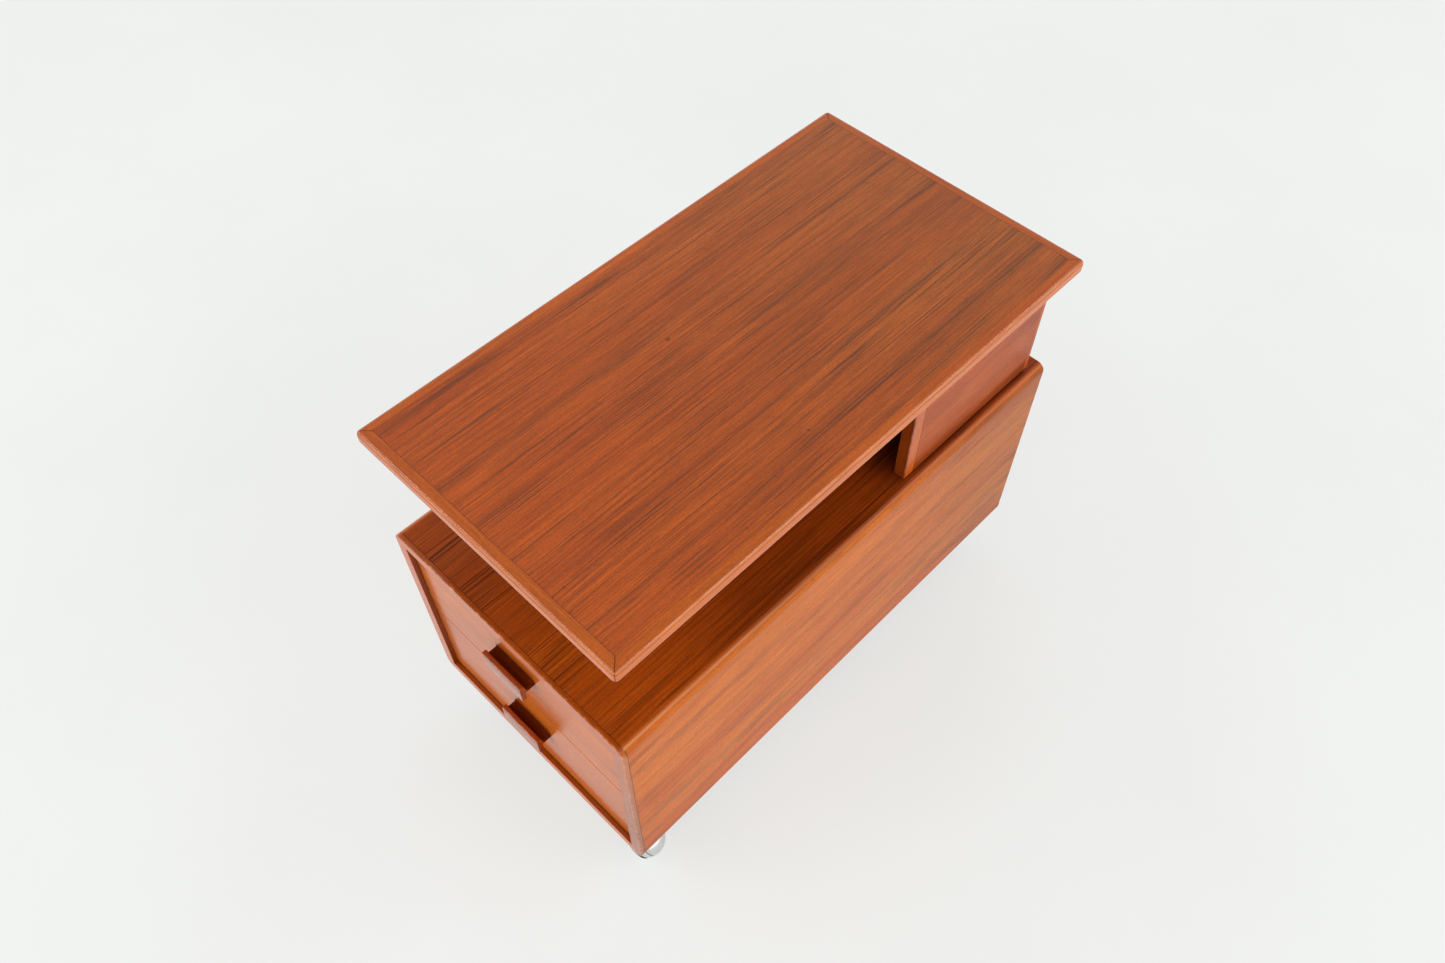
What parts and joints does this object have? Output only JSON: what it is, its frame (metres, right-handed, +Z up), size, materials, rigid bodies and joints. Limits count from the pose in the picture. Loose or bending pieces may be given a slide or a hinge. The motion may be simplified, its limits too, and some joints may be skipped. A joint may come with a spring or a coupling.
{
  "type": "sewing table",
  "caption": "Low teak sewing table on ball casters: a long case with drawers in its short end, and a raised top carried by an open box at the far end.",
  "frame": {"origin": "on the floor under the middle of the whole table's box", "axes": "+Z up, the drawers face -Y, the long side runs along Y, +X to the right when looking along +Y"},
  "size_m": [0.41, 0.7788, 0.585],
  "materials": {
    "teak_veneer": "oiled teak veneer, reddish orange brown with fine dark streaks along the grain, satin",
    "teak_solid": "oiled solid teak lippings and pulls, slightly more orange than the veneer, satin",
    "drawer_oak": "pale planed oak, waxed",
    "plywood": "pale birch plywood, sanded",
    "chrome": "bright chrome plate",
    "steel": "zinc plated steel",
    "rubber": "black rubber tyre"
  },
  "bodies": {
    "table": {"top_front_lipping": "teak_solid", "top_back_lipping": "teak_solid", "top_left_lipping": "teak_solid", "top_right_lipping": "teak_solid", "top_panel": "teak_veneer", "case_top_panel": "teak_veneer", "case_top_lipping": "teak_solid", "case_right_panel": "teak_veneer", "case_right_lipping": "teak_solid", "case_bottom_panel": "teak_veneer", "case_bottom_lipping": "teak_solid", "case_left_panel": "teak_veneer", "case_left_lipping": "teak_solid", "case_back_panel": "teak_veneer", "riser_left_side": "teak_veneer", "riser_left_lipping": "teak_solid", "riser_left_cleat": "drawer_oak", "riser_right_side": "teak_veneer", "riser_right_lipping": "teak_solid", "riser_right_cleat": "drawer_oak", "riser_back": "teak_veneer", "runner_upper_left": "drawer_oak", "runner_upper_right": "drawer_oak", "runner_lower_left": "drawer_oak", "runner_lower_right": "drawer_oak", "caster_front_right_plate": "steel", "caster_front_left_plate": "steel", "caster_back_right_plate": "steel", "caster_back_left_plate": "steel"},
    "upper_drawer": {"upper_drawer_front": "teak_veneer", "upper_drawer_left_side": "drawer_oak", "upper_drawer_right_side": "drawer_oak", "upper_drawer_back": "drawer_oak", "upper_drawer_bottom": "plywood", "upper_drawer_pull": "teak_solid"},
    "lower_drawer": {"lower_drawer_front": "teak_veneer", "lower_drawer_left_side": "drawer_oak", "lower_drawer_right_side": "drawer_oak", "lower_drawer_back": "drawer_oak", "lower_drawer_bottom": "plywood", "lower_drawer_pull": "teak_solid"},
    "caster_front_right": {"caster_front_right_hood": "chrome", "caster_front_right_axle": "steel"},
    "caster_front_right_wheel": {"caster_front_right_wheel": "chrome", "caster_front_right_tread": "rubber"},
    "caster_front_left": {"caster_front_left_hood": "chrome", "caster_front_left_axle": "steel"},
    "caster_front_left_wheel": {"caster_front_left_wheel": "chrome", "caster_front_left_tread": "rubber"},
    "caster_back_right": {"caster_back_right_hood": "chrome", "caster_back_right_axle": "steel"},
    "caster_back_right_wheel": {"caster_back_right_wheel": "chrome", "caster_back_right_tread": "rubber"},
    "caster_back_left": {"caster_back_left_hood": "chrome", "caster_back_left_axle": "steel"},
    "caster_back_left_wheel": {"caster_back_left_wheel": "chrome", "caster_back_left_tread": "rubber"}
  },
  "joints": [
    {"name": "upper_drawer_slide", "type": "slide", "parent": "table", "child": "upper_drawer", "axis": [0, -1, 0], "range_m": [0, 0.42]},
    {"name": "lower_drawer_slide", "type": "slide", "parent": "table", "child": "lower_drawer", "axis": [0, -1, 0], "range_m": [0, 0.42]},
    {"name": "caster_front_right_swivel", "type": "hinge", "parent": "table", "child": "caster_front_right", "pos_m": [0.1665, -0.3409, 0.0565], "axis": [0, 0, 1], "continuous": true},
    {"name": "caster_front_right_roll", "type": "hinge", "parent": "caster_front_right", "child": "caster_front_right_wheel", "pos_m": [0.1763, -0.34589, 0.026], "axis": [-0.3932, -0.7716, -0.5], "continuous": true},
    {"name": "caster_front_left_swivel", "type": "hinge", "parent": "table", "child": "caster_front_left", "pos_m": [-0.1665, -0.3409, 0.0565], "axis": [0, 0, 1], "continuous": true},
    {"name": "caster_front_left_roll", "type": "hinge", "parent": "caster_front_left", "child": "caster_front_left_wheel", "pos_m": [-0.15653, -0.33625, 0.026], "axis": [0.366, -0.7849, -0.5], "continuous": true},
    {"name": "caster_back_right_swivel", "type": "hinge", "parent": "table", "child": "caster_back_right", "pos_m": [0.1665, 0.3486, 0.0565], "axis": [0, 0, 1], "continuous": true},
    {"name": "caster_back_right_roll", "type": "hinge", "parent": "caster_back_right", "child": "caster_back_right_wheel", "pos_m": [0.15574, 0.35089, 0.026], "axis": [0.1801, 0.8471, -0.5], "continuous": true},
    {"name": "caster_back_left_swivel", "type": "hinge", "parent": "table", "child": "caster_back_left", "pos_m": [-0.1665, 0.3486, 0.0565], "axis": [0, 0, 1], "continuous": true},
    {"name": "caster_back_left_roll", "type": "hinge", "parent": "caster_back_left", "child": "caster_back_left_wheel", "pos_m": [-0.17647, 0.34395, 0.026], "axis": [-0.366, 0.7849, -0.5], "continuous": true}
  ]
}
